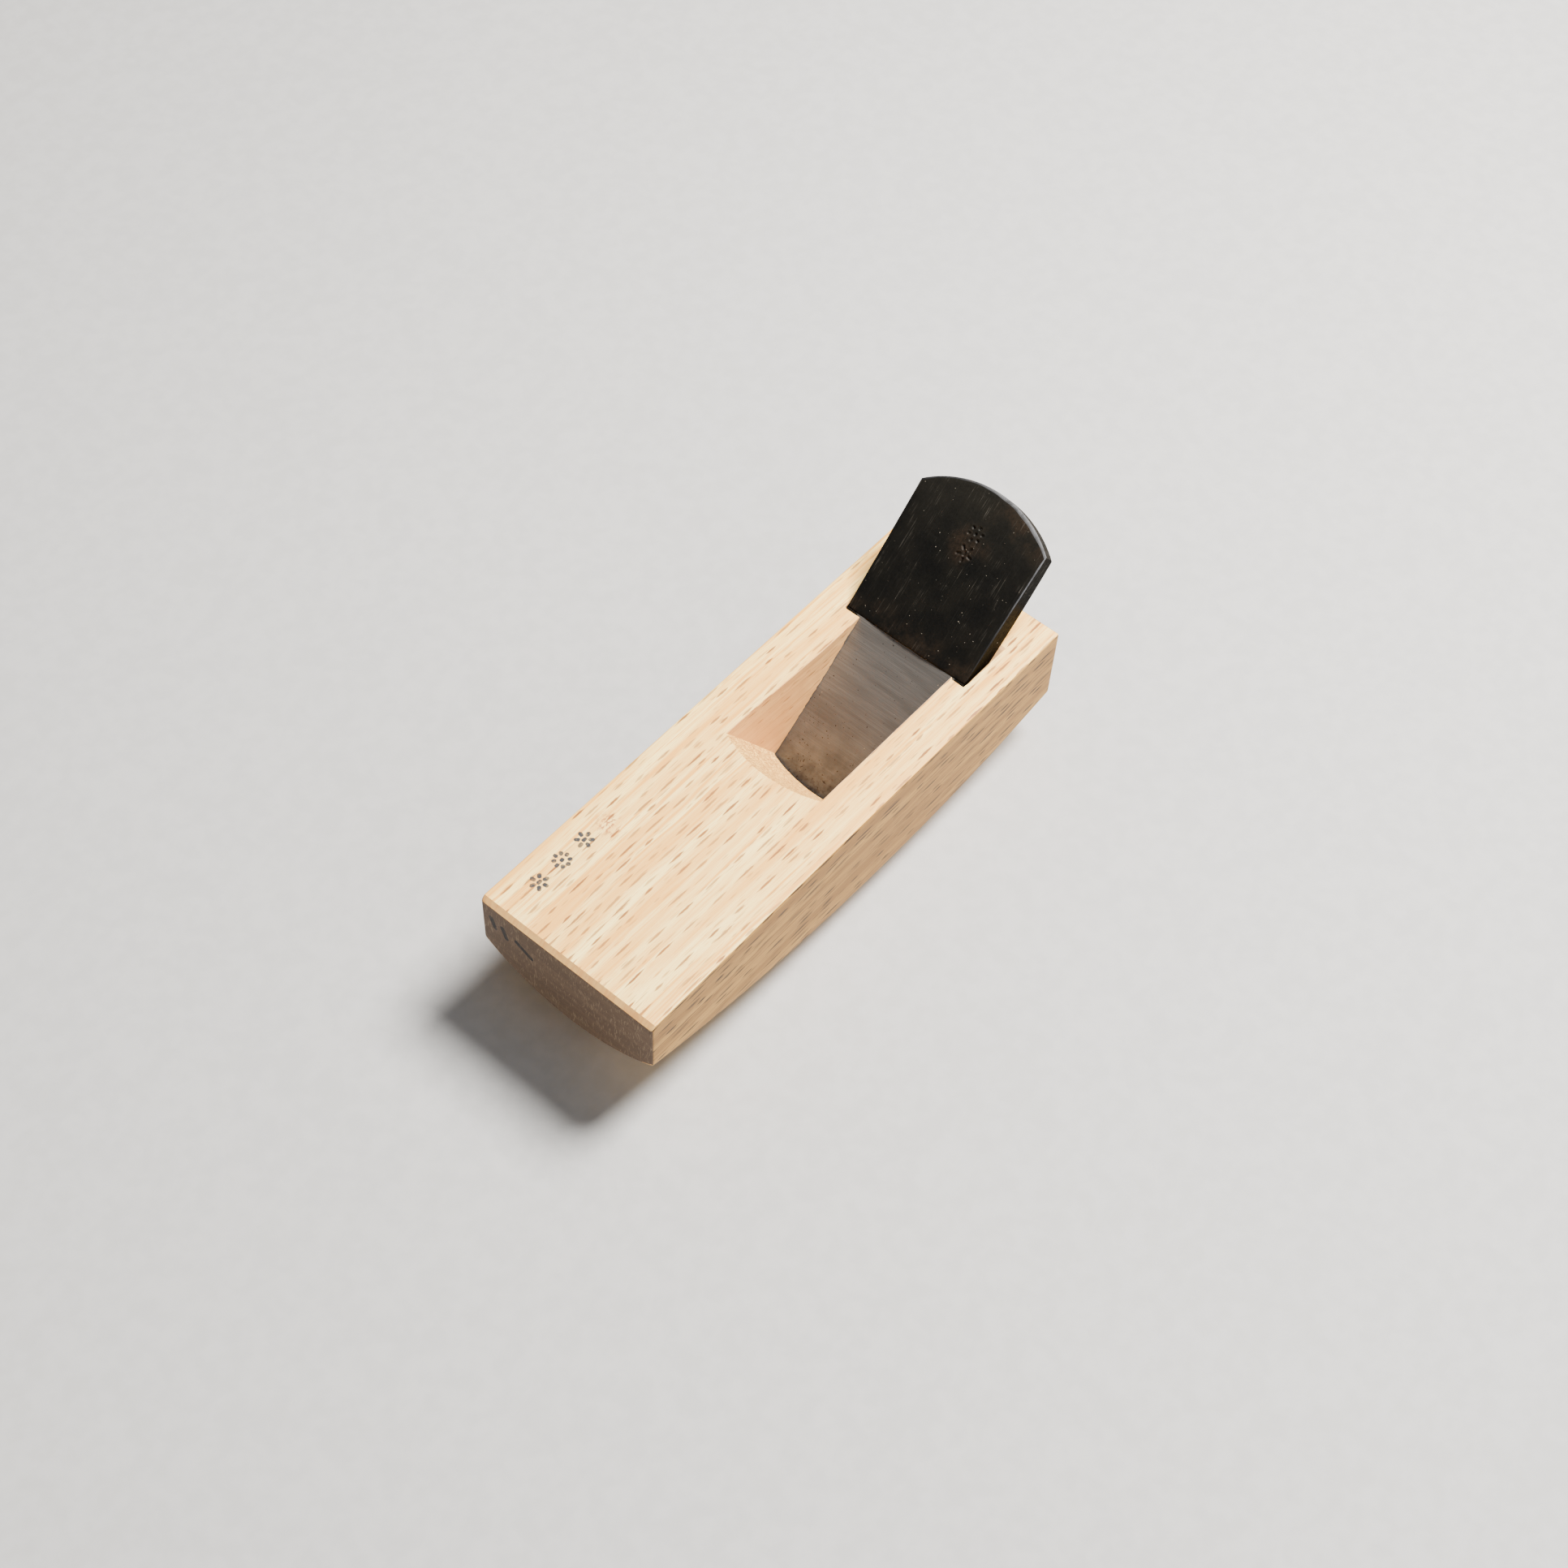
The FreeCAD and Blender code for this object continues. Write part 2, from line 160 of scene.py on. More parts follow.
class Shader:
    """A material whose nodes are written as calls. Lengths inside it are millimetres."""

    def __init__(self, name, attribute=None):
        self.material = bpy.data.materials.new(name)
        self.material.use_nodes = True
        self.tree = self.material.node_tree
        self.surface = self.tree.nodes["Principled BSDF"]
        if attribute:
            stored = self.node("ShaderNodeAttribute", attribute_name=attribute)
            self.place = stored.outputs["Vector"]
        else:
            at = self.node("ShaderNodeTexCoord").outputs["Object"]
            self.place = self.vector("SCALE", at, scale=1 / MM)
        split = self.node("ShaderNodeSeparateXYZ", {0: self.place}).outputs
        self.x, self.y, self.z = split[0], split[1], split[2]

    def node(self, kind, inputs=None, **settings):
        made = self.tree.nodes.new(kind)
        for key, value in settings.items():
            setattr(made, key, value)
        for key, value in (inputs or {}).items():
            self.plug(made.inputs[key], value)
        return made

    def plug(self, socket, value):
        if isinstance(value, bpy.types.NodeSocket):
            self.tree.links.new(value, socket)
        else:
            socket.default_value = value

    def math(self, operation, *values, clamp=False):
        inputs = dict(enumerate(values))
        return self.node("ShaderNodeMath", inputs, operation=operation, use_clamp=clamp).outputs[0]

    def vector(self, operation, *values, scale=None):
        made = self.node("ShaderNodeVectorMath", dict(enumerate(values)), operation=operation)
        if scale is not None:
            self.plug(made.inputs["Scale"], scale)
        one_number = operation in ("LENGTH", "DISTANCE", "DOT_PRODUCT")
        return made.outputs["Value" if one_number else "Vector"]

    def combine(self, x, y, z=0.0):
        return self.node("ShaderNodeCombineXYZ", {0: x, 1: y, 2: z}).outputs[0]

    def noise(self, place, size=(1, 1, 1), detail=3.0, rough=0.5, seed=0.0, warp=0.0):
        """Noise about 0.5 whose features are about size across, in millimetres."""
        scaled = self.vector("DIVIDE", place, tuple(size))
        moved = self.vector("ADD", scaled, (seed, seed * 0.37, -seed * 0.61))
        inputs = {"Vector": moved, "Scale": 1.0, "Detail": detail, "Roughness": rough}
        inputs["Distortion"] = warp
        return self.node("ShaderNodeTexNoise", inputs).outputs[0]

    def between(self, value, start, finish, low=0.0, high=1.0):
        """Eased step from low at start to high at finish."""
        inputs = {0: value, 1: start, 2: finish, 3: low, 4: high}
        kind = "ShaderNodeMapRange"
        return self.node(kind, inputs, interpolation_type="SMOOTHSTEP").outputs[0]

    def mix(self, factor, first, second):
        """The first colour where factor is 0, the second where it is 1."""
        inputs = {0: factor, 6: first, 7: second}
        return self.node("ShaderNodeMix", inputs, data_type="RGBA").outputs[2]

    def flecks(self, along, across, row, pitch, length, width, amount, seed):
        """Lens-shaped marks in loose rows, some rows thick with them: 1 in a mark, 0 outside."""
        line = self.math("ADD", self.math("DIVIDE", across, row), seed * 7.3 + 40)
        which = self.math("FLOOR", line)
        chance = self.node("ShaderNodeTexWhiteNoise", {"W": which}, noise_dimensions="1D")
        shift = self.math("MULTIPLY", chance.outputs["Value"], 17.0)
        row_luck = self.node("ShaderNodeSeparateColor", {0: chance.outputs["Color"]}).outputs
        crowd = self.between(row_luck[1], 0.2, 0.8, amount * 0.45, amount * 1.5)
        step = self.math("ADD", self.math("DIVIDE", along, pitch), self.math("ADD", shift, 40.0))
        cell = self.combine(self.math("FLOOR", step), which)
        luck = self.node("ShaderNodeTexWhiteNoise", {"Vector": cell}, noise_dimensions="2D")
        luck = self.node("ShaderNodeSeparateColor", {0: luck.outputs["Color"]}).outputs
        row_middle = self.between(row_luck[2], 0, 1, 0.36, 0.64)
        middle = self.math("ADD", row_middle, self.between(luck[1], 0, 1, -0.05, 0.05))
        aside = self.math("SUBTRACT", self.math("FRACT", line), middle)
        cell_middle = self.between(luck[2], 0, 1, 0.44, 0.56)
        ahead = self.math("SUBTRACT", self.math("FRACT", step), cell_middle)
        size = self.between(luck[1], 1.0, 0.0, 0.45, 1.1)
        ahead = self.math("DIVIDE", self.math("MULTIPLY", ahead, pitch * 2 / length), size)
        aside = self.math("MULTIPLY", self.math("ABSOLUTE", aside), row * 2 / width)
        away = self.math("ADD", self.math("MULTIPLY", ahead, ahead), aside)
        ragged = self.noise(self.combine(along, across), (0.9, 0.16, 1), 2, seed=seed * 1.7)
        ragged = self.math("MULTIPLY", self.math("SUBTRACT", ragged, 0.5), 0.9)
        away = self.math("ADD", away, ragged)
        present = self.math("LESS_THAN", luck[0], crowd)
        depth = self.between(luck[0], crowd, 0.0, 0.6, 1.0)
        shown = self.math("MULTIPLY", present, depth)
        return self.math("MULTIPLY", self.between(away, 1.0, 0.4), shown)

    def near_strokes(self, place, strokes):
        """Distance to the nearest of some straight strokes in a plane."""
        nearest = None
        for (ax, ay), (bx, by) in strokes:
            run = Vector((bx - ax, by - ay, 0))
            away = self.vector("SUBTRACT", place, (ax, ay, 0))
            part = self.vector("DOT_PRODUCT", away, tuple(run / run.length_squared))
            part = self.math("ADD", part, 0.0, clamp=True)
            foot = self.vector("SCALE", tuple(run), scale=part)
            reach = self.vector("LENGTH", self.vector("SUBTRACT", away, foot))
            nearest = reach if nearest is None else self.math("MINIMUM", nearest, reach)
        return nearest

    def ink(self, u, v, strokes, width, seed):
        """Cover of ink strokes on wood: ragged at the edges and a little patchy."""
        rag = self.noise(self.place, (0.35, 0.35, 0.35), 3, 0.6, seed=seed)
        away = self.near_strokes(self.combine(u, v), strokes)
        away = self.math("ADD", away, self.math("MULTIPLY", self.math("SUBTRACT", rag, 0.5), 0.28))
        patch = self.noise(self.place, (0.9, 0.9, 0.9), 3, 0.6, seed=seed + 3)
        cover = self.between(away, width / 2 + 0.05, width / 2 - 0.07)
        return self.math("MULTIPLY", cover, self.between(patch, 0.3, 0.55, 0.75, 1.0))

    def bump(self, heights):
        """Join (height from 0 to 1, depth in millimetres) pairs into one bumped normal."""
        total = 0.0
        for height, depth in heights:
            total = self.math("MULTIPLY_ADD", height, depth, total)
        inputs = {"Height": total, "Strength": 1.0, "Distance": MM}
        return self.node("ShaderNodeBump", inputs).outputs[0]

    def finish(self, **inputs):
        for name, value in inputs.items():
            self.plug(self.surface.inputs[name.replace("_", " ")], value)
        return self.material


# ---------------------------------------------------------------- wood: the outside of the block
DECK, SIDE, END, TOE_BEVEL, WALL, FRONT_WALL, BED = range(7)
EASED = 0.38
TOE_CHAMFER = 0.8


def sole_height(x, y):
    """Height of the doubly curved sole."""
    drop = SOLE_CROSS_RADIUS - math.sqrt(SOLE_CROSS_RADIUS ** 2 - y * y)
    reach = SOLE_LENGTH_RADIUS - drop
    return SOLE_LENGTH_RADIUS - math.sqrt(reach * reach - x * x)


def rounded(corner, before, after, count=4):
    """Points of a soft corner from before to after, in the section's plane."""
    points = []
    for i in range(count + 1):
        t = i / count
        keep, pull, leave = (1 - t) ** 2, 2 * t * (1 - t), t * t
        y = before[0] * keep + corner[0] * pull + after[0] * leave
        z = before[1] * keep + corner[1] * pull + after[1] * leave
        points.append((y, z))
    return points


def section(x, inset, top_inset):
    """Outline of the block across its length, as (y, z, material) from the -Y sole corner round."""
    wide = HALF_WIDTH - inset
    top = TOP - top_inset
    worn = EASED + 0.10 * wander(x, 3, 0, 5.0, 11) + 0.22 * smooth(x, 2, 12) * smooth(x, 42, 30)
    soft = {1: max(worn, 0.2), -1: EASED + 0.08 * wander(x, 9, 0, 7.0, 5)}

    def under(y):
        return sole_height(x, y) + inset

    points = []
    for y in spread(-wide + EASED, wide - EASED, 44):
        points.append((y, under(y), DECK))
    foot = under(wide)
    inner = wide - EASED
    for y, z in rounded((wide, foot), (inner, under(inner)), (wide, foot + EASED))[:-1]:
        points.append((y, z, DECK if z < foot + EASED / 3 else SIDE))
    for z in spread(foot + EASED, top - soft[1], 10):
        points.append((wide, z, SIDE))
    for y, z in rounded((wide, top), (wide, top - soft[1]), (wide - soft[1], top))[:-1]:
        points.append((y, z, SIDE if z < top - soft[1] / 2 else DECK))
    for y in spread(wide - soft[1], -wide + soft[-1], 26):
        points.append((y, top, DECK))
    for y, z in rounded((-wide, top), (-wide + soft[-1], top), (-wide, top - soft[-1]))[:-1]:
        points.append((y, z, DECK if z > top - soft[-1] / 2 else SIDE))
    for z in spread(top - soft[-1], foot + EASED, 10):
        points.append((-wide, z, SIDE))
    for y, z in rounded((-wide, foot), (-wide, foot + EASED), (-inner, under(inner)))[:-1]:
        points.append((y, z, DECK if z < foot + EASED / 3 else SIDE))
    return points


def block_body():
    """The planed block before it is chopped out: stacked sections from heel to toe."""
    stations = []
    for away in (0.0, 0.04, 0.10, 0.18, 0.27, EASED, 0.55, TOE_CHAMFER):
        curve = EASED - math.sqrt(max(EASED ** 2 - max(EASED - away, 0) ** 2, 0))
        stations.append((TOE - away, curve, max(TOE_CHAMFER - away, 0)))
        if away <= EASED:
            stations.append((HEEL + away, curve, curve))
    for x in spread(HEEL + EASED, TOE - TOE_CHAMFER, 102)[1:]:
        stations.append((x, 0.0, 0.0))
    stations.sort()
    points, faces, materials = [], [], []
    for x, inset, top_inset in stations:
        ring = section(x, inset, top_inset)
        points.extend((x, y, z) for y, z, _ in ring)
    count = len(ring)
    kinds = [kind for _, _, kind in ring]
    for row in range(len(stations) - 1):
        at_end = stations[row + 1][0] < HEEL + EASED / 2 or stations[row][0] > TOE - EASED / 2
        near_toe = stations[row][0] > TOE - TOE_CHAMFER - 0.01
        for i in range(count):
            j = (i + 1) % count
            a, b = row * count, (row + 1) * count
            faces.append((a + i, a + j, b + j, b + i))
            kind = END if at_end else kinds[i]
            if near_toe and kinds[i] == DECK and points[a + i][2] > TOP / 2:
                kind = TOE_BEVEL
            materials.append(kind)
    last = (len(stations) - 1) * count
    faces.append(tuple(range(count - 1, -1, -1)))
    faces.append(tuple(last + i for i in range(count)))
    materials += [END, END]
    mesh = mesh_from("block_body", points, faces)
    mesh.polygons.foreach_set("material_index", materials)
    clean(mesh)
    return mesh


# ---------------------------------------------------------------- wood: the chopped opening
THROAT_FRONT = 13.6
THROAT_RADIUS = 25.0
THROAT_LEAN = math.tan(math.radians(35.0))
MOUTH_GAP = 0.7
RETURN_GAP = 1.3
RETURN_HEIGHT = 10.0
BED_PLAY = 0.04
ABUTMENT_PLAY = 0.12
SLOT_HALF = 12.1
IRON_TAPER = 0.02047
RIGHT_WALL = 9.98
LEFT_WALL_FRONT = -10.25
LEFT_WALL_REAR = -9.55
# where in the random pattern the two abutments' broken fibres are taken from
RIGHT_TEAR = 37.5
LEFT_TEAR = 44.5


def face_line(z):
    """Where along X the iron's face is at a height."""
    return EDGE_REACH - (z - EDGE_LIFT) / math.tan(FACE_ANGLE)


def bed_line(z):
    """Where along X the iron's back is at a height."""
    foot = EDGE_REACH - EDGE_THICKNESS * math.sin(FACE_ANGLE)
    rise = z - EDGE_LIFT + EDGE_THICKNESS * math.cos(FACE_ANGLE)
    return foot - rise / math.tan(BED_ANGLE)


def flare(z, size):
    """How far a chopped edge opens out at the deck."""
    return size * smooth(z, TOP - size * 1.1, TOP + 0.02)


def opening_ring(z):
    """Outline of slot, throat and mouth at one height, as (x, y, material) from the bed round."""
    slot_half = SLOT_HALF + IRON_TAPER * (z - EDGE_LIFT) / math.sin(FACE_ANGLE)
    back = bed_line(z) - BED_PLAY / math.sin(BED_ANGLE) - 0.02 - flare(z, 0.25)
    front = face_line(z) + ABUTMENT_PLAY / math.sin(FACE_ANGLE)
    right = RIGHT_WALL

    def rough(x, y, seed, size=1.6):
        return wander(x, y, z, size, seed)

    def left(x):
        """The -Y wall, which isn't quite square to the toe."""
        return blend(LEFT_WALL_FRONT, LEFT_WALL_REAR, smooth(x, THROAT_FRONT, -16))

    def torn(y, seed):
        """How far fibres are broken away along the abutment's lower edge, over the iron."""
        small = smooth(wander(0, 0, z, 0.5, seed), 0.0, 0.45)
        large = smooth(wander(0, 0, z, 1.6, seed + 4), 0.05, 0.5)
        split = small + 0.7 * large
        return 0.36 * split * smooth(abs(y), 10.9, 10.1) * smooth(z, TOP, TOP - 2)

    def front_wall(y):
        bow = THROAT_RADIUS - math.sqrt(THROAT_RADIUS ** 2 - y * y)
        lean = THROAT_FRONT - bow - (TOP - z) * THROAT_LEAN
        gap = blend(MOUTH_GAP, RETURN_GAP, max(z, 0) / RETURN_HEIGHT)
        return max(lean, face_line(z) + gap)

    points = []
    for y in spread(-slot_half, slot_half, 24):
        points.append((back - 0.03 - 0.03 * rough(back, y, 3), y, BED))
    for x in spread(back, front, 10):
        wall = slot_half + 0.03 * rough(x, 12, 6) + flare(z, 0.2)
        points.append((x, wall, BED))
    for y in spread(slot_half, right, 6):
        bite = 0.05 + 0.05 * rough(front, y, 8, 0.8) + flare(z, 0.4) + torn(y, RIGHT_TEAR)
        points.append((front + bite, y, WALL))
    corner = front_wall(right)
    for x in spread(front + 0.05 + torn(right, RIGHT_TEAR), corner, 30):
        wall = right + 0.035 * rough(x, 10, 13, 2.6) + flare(z, 0.13)
        points.append((x, wall, WALL))
    for y in spread(right, left(corner), 40):
        chop = 0.05 * rough(corner, y, 17, 1.1) + 0.03 * rough(corner, y, 19, 0.4)
        points.append((front_wall(y) + chop * smooth(z, 5, 8) + flare(z, 0.13), y, FRONT_WALL))
    corner = front_wall(LEFT_WALL_FRONT)
    for x in spread(corner, front + 0.05 + torn(LEFT_WALL_REAR, LEFT_TEAR), 30):
        wall = left(x) - 0.035 * rough(x, -10, 23, 2.6) - flare(z, 0.13)
        points.append((x, wall, WALL))
    for y in spread(left(front), -slot_half, 6):
        bite = 0.05 + 0.05 * rough(front, y, 29, 0.8) + flare(z, 0.4) + torn(y, LEFT_TEAR)
        points.append((front + bite, y, WALL))
    for x in spread(front, back, 10):
        wall = slot_half + 0.03 * rough(x, -12, 31) + flare(z, 0.2)
        points.append((x, -wall, BED))
    return points


def opening_cutter():
    """The solid cut out of the block: stacked rings from below the sole to above the deck."""
    heights = [-2.0, -0.6]
    heights += spread(-0.2, TOP - 0.6, 110)
    heights += [TOP + above for above in (-0.6, -0.45, -0.3, -0.2, -0.12, -0.06, 0.03, 2)]
    points, faces, materials = [], [], []
    for z in heights:
        ring = opening_ring(z)
        points.extend((x, y, z) for x, y, _ in ring)
    count = len(ring)
    for row in range(len(heights) - 1):
        for i in range(count):
            j = (i + 1) % count
            a, b = row * count, (row + 1) * count
            faces.append((a + i, a + j, b + j, b + i))
            materials.append(ring[i][2])
    last = (len(heights) - 1) * count
    faces.append(tuple(range(count - 1, -1, -1)))
    faces.append(tuple(last + i for i in range(count)))
    materials += [BED, BED]
    mesh = mesh_from("opening", points, faces)
    mesh.polygons.foreach_set("material_index", materials)
    clean(mesh, 0.00001)
    return mesh


# ---------------------------------------------------------------- wood materials
# Plain devices that stand for what is stamped and written on the real block.
DECK_STROKES = rosette(42.3, -13.3, 1.0, 6, 12, 0.35)
DECK_STROKES += rosette(47.5, -13.3, 1.2, 8, 5, 0.15)
DECK_STROKES += rosette(52.9, -13.1, 1.0, 6, 42, 0.35)
TOE_STROKES = [
    ((-16.0, 21.6), (-15.3, 19.4)),
    ((-13.6, 20.9), (-12.9, 18.7)),
    ((-10.6, 20.0), (-7.6, 18.4)),
]


def oak(name, base, dark, fleck, fleck_amount, across, fleck_size, streak=1.0):
    """Bare planed oak seen with its grain along X. across names the face's other axis."""
    s = Shader(name)
    axis, other = (s.y, s.z) if across == "y" else (s.z, s.y)
    lateral = s.math("ADD", axis, s.math("MULTIPLY", other, 0.11))
    drift = s.noise(s.combine(s.x, lateral), (38, 14, 1), 2, seed=3.1)
    lateral = s.math("ADD", lateral, s.math("MULTIPLY", s.math("SUBTRACT", drift, 0.5), 1.6))
    flow = s.combine(s.x, lateral)
    bands = s.noise(flow, (60, 2.4, 1), 3, seed=1.3)
    lines = s.noise(flow, (26, 0.6, 1), 4, seed=7.7)
    pores = s.noise(flow, (4.5, 0.14, 1), 2, seed=4.9)
    colour = s.mix(s.between(bands, 0.3, 0.72, 0.0, 0.55 * streak), base, dark)
    colour = s.mix(s.between(lines, 0.50, 0.70, 0.0, 0.75 * streak), colour, dark)
    colour = s.mix(s.between(pores, 0.54, 0.70, 0.0, 0.6 * streak), colour, dark)
    length, width = fleck_size
    marks = s.flecks(s.x, lateral, 1.3, length * 1.18, length, width, fleck_amount, 2)
    small = (length * 0.7, width * 0.6, fleck_amount * 0.7)
    more = s.flecks(s.x, lateral, 0.8, length * 1.1, *small, 5)
    colour = s.mix(marks, colour, fleck)
    colour = s.mix(s.math("MULTIPLY", more, 0.5), colour, fleck)
    cloud = s.noise(s.place, (16, 9, 9), 2, seed=8.8)
    colour = s.mix(s.between(cloud, 0.35, 0.7, 0.0, 0.16), colour, dark)
    normal = s.bump([(pores, -0.014), (lines, 0.010), (marks, -0.010)])
    return s, colour, normal


def deck_material():
    """The deck and the sole: planed oak with rusty knot spots and inked rosettes on the deck."""
    base, dark, tan = linear(255, 226, 140), linear(227, 160, 62), linear(134, 78, 6)
    s, colour, normal = oak("oak_deck", base, dark, tan, 0.80, "y", (5.4, 0.56), 1.7)
    spots = s.noise(s.place, (0.8, 0.5, 1), 3, 0.6, seed=21.0)
    near = s.vector("DISTANCE", s.place, (37.6, -12.3, TOP))
    near = s.math("MULTIPLY", s.between(near, 3.2, 0.6), s.between(spots, 0.48, 0.6))
    colour = s.mix(s.math("MULTIPLY", near, 0.85), colour, linear(150, 72, 24))
    above = s.math("GREATER_THAN", s.z, TOP - 1)
    ink = s.math("MULTIPLY", s.ink(s.x, s.y, DECK_STROKES, 0.74, 31.0), above)
    colour = s.mix(ink, colour, linear(28, 26, 28))
    return s.finish(Base_Color=colour, Roughness=0.6, Normal=normal)


def side_material():
    """The sides: darker oak with coarser flecks."""
    base, dark, brown = linear(192, 145, 69), linear(142, 99, 38), linear(48, 28, 5)
    s, colour, normal = oak("oak_side", base, dark, brown, 0.82, "z", (5.8, 0.68), 1.8)
    return s.finish(Base_Color=colour, Roughness=0.62, Normal=normal)


def end_material():
    """Dark end grain, with the three pen strokes at the toe."""
    s = Shader("oak_end")
    warp = s.noise(s.combine(s.y, s.z), (3.5, 3.5, 1), 3, seed=2.2)
    lateral = s.math("ADD", s.y, s.math("MULTIPLY", warp, 1.8))
    rays = s.noise(s.combine(lateral, s.z), (0.2, 1.7, 1), 3, seed=5.5)
    rings = s.noise(s.combine(s.y, s.z), (26, 1.1, 1), 3, seed=9.4)
    pores = s.noise(s.combine(s.y, s.z), (0.28, 0.22, 1), 2, seed=6.1)
    colour = s.mix(s.between(rings, 0.3, 0.7, 0.0, 0.6), linear(112, 88, 66), linear(90, 68, 50))
    colour = s.mix(s.between(rays, 0.55, 0.70, 0.0, 0.55), colour, linear(166, 142, 114))
    colour = s.mix(s.between(pores, 0.55, 0.72, 0.0, 0.5), colour, linear(74, 52, 36))
    at_toe = s.math("GREATER_THAN", s.x, TOE - 1)
    ink = s.math("MULTIPLY", s.ink(s.y, s.z, TOE_STROKES, 1.0, 33.0), at_toe)
    colour = s.mix(ink, colour, linear(26, 23, 22))
    normal = s.bump([(pores, -0.03), (rays, 0.015)])
    return s.finish(Base_Color=colour, Roughness=0.75, Normal=normal)


def toe_bevel_material():
    """The chamfer across the top of the toe."""
    s = Shader("oak_toe_bevel")
    rays = s.noise(s.combine(s.y, s.z), (0.5, 3.0, 1), 3, seed=2.8)
    blot = s.noise(s.place, (2.5, 2.5, 2.5), 2, seed=3.9)
    colour = s.mix(s.between(rays, 0.4, 0.7, 0.0, 0.7), linear(252, 196, 116), linear(238, 168, 92))
    colour = s.mix(s.between(blot, 0.45, 0.7, 0.0, 0.5), colour, linear(222, 148, 78))
    return s.finish(Base_Color=colour, Roughness=0.6, Normal=s.bump([(rays, 0.012)]))


def wall_material():
    """The throat's side walls and the abutments, cut with a chisel."""
    base, dark, tan = linear(242, 194, 124), linear(208, 150, 88), linear(154, 98, 46)
    s, colour, normal = oak("oak_wall", base, dark, tan, 0.30, "z", (2.8, 0.40), 1.1)
    chisel = s.noise(s.combine(s.x, s.z), (2.4, 5.5, 1), 2, seed=4.4)
    colour = s.mix(s.between(chisel, 0.35, 0.7, 0.0, 0.25), colour, linear(208, 152, 98))
    # muted on the +Y side: its wall is in shade, where the same colour would look too orange
    muted = {"Saturation": s.between(s.y, -2.0, 4.0, 1.0, 0.48), "Color": colour}
    colour = s.node("ShaderNodeHueSaturation", muted).outputs[0]
    return s.finish(Base_Color=colour, Roughness=0.66, Normal=normal)


def front_wall_material():
    """The throat's front wall: torn end grain."""
    s = Shader("oak_front_wall")
    fibres = s.noise(s.combine(s.y, s.z), (0.28, 0.8, 1), 5, 0.62, seed=3.3, warp=1.2)
    blot = s.noise(s.place, (2.2, 2.2, 2.2), 3, seed=7.1)
    torn = s.between(fibres, 0.4, 0.65, 0.0, 1.0)
    colour = s.mix(torn, linear(164, 110, 48), linear(254, 202, 104))
    colour = s.mix(s.between(blot, 0.35, 0.7, 0.0, 0.45), colour, linear(172, 116, 52))
    normal = s.bump([(fibres, 0.06), (blot, 0.05)])
    return s.finish(Base_Color=colour, Roughness=0.8, Normal=normal)


def bed_material():
    """The bed and its slots, rubbed by the iron."""
    base, dark, tan = linear(226, 176, 114), linear(202, 148, 90), linear(150, 100, 56)
    s, colour, normal = oak("oak_bed", base, dark, tan, 0.4, "y", (3.6, 0.4))
    smear = s.noise(s.place, (3, 3, 3), 3, seed=5.2)
    colour = s.mix(s.between(smear, 0.5, 0.75, 0.0, 0.5), colour, linear(90, 70, 54))
    return s.finish(Base_Color=colour, Roughness=0.7, Normal=normal)


def make_block():
    """The oak block with its opening cut out."""
    piece = new_object("block_visual", block_body())
    cutter = new_object("opening_cutter", opening_cutter())
    makers = (deck_material, side_material, end_material, toe_bevel_material)
    makers += (wall_material, front_wall_material, bed_material)
    for maker in makers:
        material = maker()
        piece.data.materials.append(material)
        cutter.data.materials.append(material)
    cut = piece.modifiers.new("cut", "BOOLEAN")
    cut.operation = "DIFFERENCE"
    cut.solver = "EXACT"
    cut.material_mode = "INDEX"
    cut.object = cutter
    settled(piece)
    bpy.data.objects.remove(cutter)
    shade(piece.data, 32)
    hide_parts("block")
    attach(piece, "stock")
    return piece


# ---------------------------------------------------------------- metal: shape of the iron
HEAD_CENTRE = SHOULDER - math.sqrt(HEAD_RADIUS ** 2 - HEAD_HALF ** 2)
HEAD_TIP = HEAD_CENTRE + HEAD_RADIUS
ARC_FROM = 53.0
SCALE, STEEL, FILED, GROUND, FLANK = range(5)


def half_width(s, t=0.0):
    """Half the iron's width, s up the face and t into the metal."""
    return EDGE_HALF + (HEAD_HALF - EDGE_HALF) / SHOULDER * s - SIDE_DRAFT * t


def head_arc(y, t=0.0):
    """How far up the face the head's arc is, with its draft."""
    radius = HEAD_RADIUS - SIDE_DRAFT * t
    return HEAD_CENTRE + math.sqrt(max(radius * radius - y * y, 0.0))


def camber(y):
    """How far up the face the curved edge is, off the middle line."""
    return EDGE_CAMBER_RADIUS - math.sqrt(EDGE_CAMBER_RADIUS ** 2 - y * y)


def back_depth(s):
    """Thickness of the iron: a wedge up to the crown, then thinning to the head."""
    straight = EDGE_THICKNESS + math.tan(FACE_ANGLE - BED_ANGLE) * s
    beyond = max(s - CROWN_START, 0.0)
    return straight - beyond * beyond / (2 * CROWN_RADIUS)


def ledge(y):
    """Where the forge scale stops and the ground hollow starts: a slightly bowed line."""
    bow = 0.22 * (1 - (y / EDGE_HALF) ** 2)
    return STEEL_LENGTH - bow + 0.05 * wander(y, 0, 0, 2.2, 41)


def dent(point, strokes):
    """Distance from a point to the nearest of some strokes, in their own plane."""
    nearest = 99.0
    for (ax, ay), (bx, by) in strokes:
        dx, dy = bx - ax, by - ay
        along = ((point[0] - ax) * dx + (point[1] - ay) * dy) / max(dx * dx + dy * dy, 1e-9)
        along = min(max(along, 0.0), 1.0)
        nearest = min(nearest, math.hypot(point[0] - ax - dx * along, point[1] - ay - dy * along))
    return nearest


# An abstract punched device: two rings of dots, one above the other.
PUNCHED = rosette(60.4, 0.4, 1.15, 6, 12, 0.12) + rosette(56.7, 0.5, 0.85, 5, 30, 0.5)


